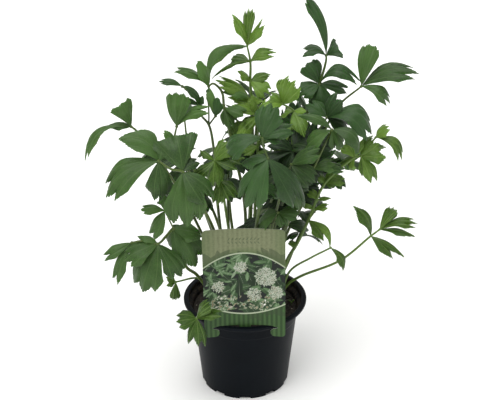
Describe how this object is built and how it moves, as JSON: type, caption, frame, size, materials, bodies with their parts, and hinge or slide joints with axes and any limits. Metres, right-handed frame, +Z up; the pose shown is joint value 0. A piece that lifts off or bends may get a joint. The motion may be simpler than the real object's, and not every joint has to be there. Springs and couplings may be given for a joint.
{
  "type": "potted lovage",
  "caption": "Young lovage herb in a dark round nursery pot of soil: upright leafy stems with toothed leaflets, and a patterned plant label with no text hung over the rim.",
  "frame": {"origin": "middle of the pot's underside, on the surface that the pot stands on", "axes": "+Z up along the pot's axis; the label hangs at the front and faces -Y; +X is to the right as seen from the front"},
  "size_m": [0.3003, 0.221, 0.3822],
  "materials": {
    "pot": "satin, near black",
    "soil": "crumbly dark brown compost",
    "label": "smooth printed card",
    "leaf": "satin mid green leaves and stems",
    "leaf_young": "satin bright green young leaves and stems",
    "leaf_dark": "satin bluish dark green leaves and stems"
  },
  "bodies": {
    "root": {"pot": "pot", "soil": "soil", "label": "label", "frond_crown_centre": "leaf_young", "frond_inner_centre": "leaf_young", "frond_upper_centre": "leaf_young", "frond_left_upper": "leaf", "frond_left_inner": "leaf_dark", "frond_left_middle": "leaf", "frond_far_left": "leaf", "frond_front_left": "leaf", "frond_low_left": "leaf", "frond_low_left_sprig": "leaf_young", "frond_over_rim_left": "leaf_young", "frond_centre_left": "leaf_young", "frond_front_centre": "leaf_dark", "frond_front_right": "leaf", "frond_upper_right": "leaf_dark", "frond_far_right": "leaf", "frond_right_inner": "leaf_dark", "frond_right_front": "leaf", "frond_right_lean": "leaf_young", "frond_right_sprig": "leaf_young", "frond_low_right": "leaf_young", "frond_inner_left": "leaf_dark", "frond_inner_right": "leaf_dark", "frond_inner_high": "leaf_dark", "frond_back_left": "leaf", "frond_back_left_high": "leaf", "frond_back_centre_left": "leaf", "frond_back_centre": "leaf", "frond_back_centre_right": "leaf", "frond_back_right_high": "leaf", "frond_back_right": "leaf", "frond_back_low_left": "leaf", "frond_back_low_right": "leaf", "frond_back_low_centre": "leaf"}
  },
  "joints": []
}
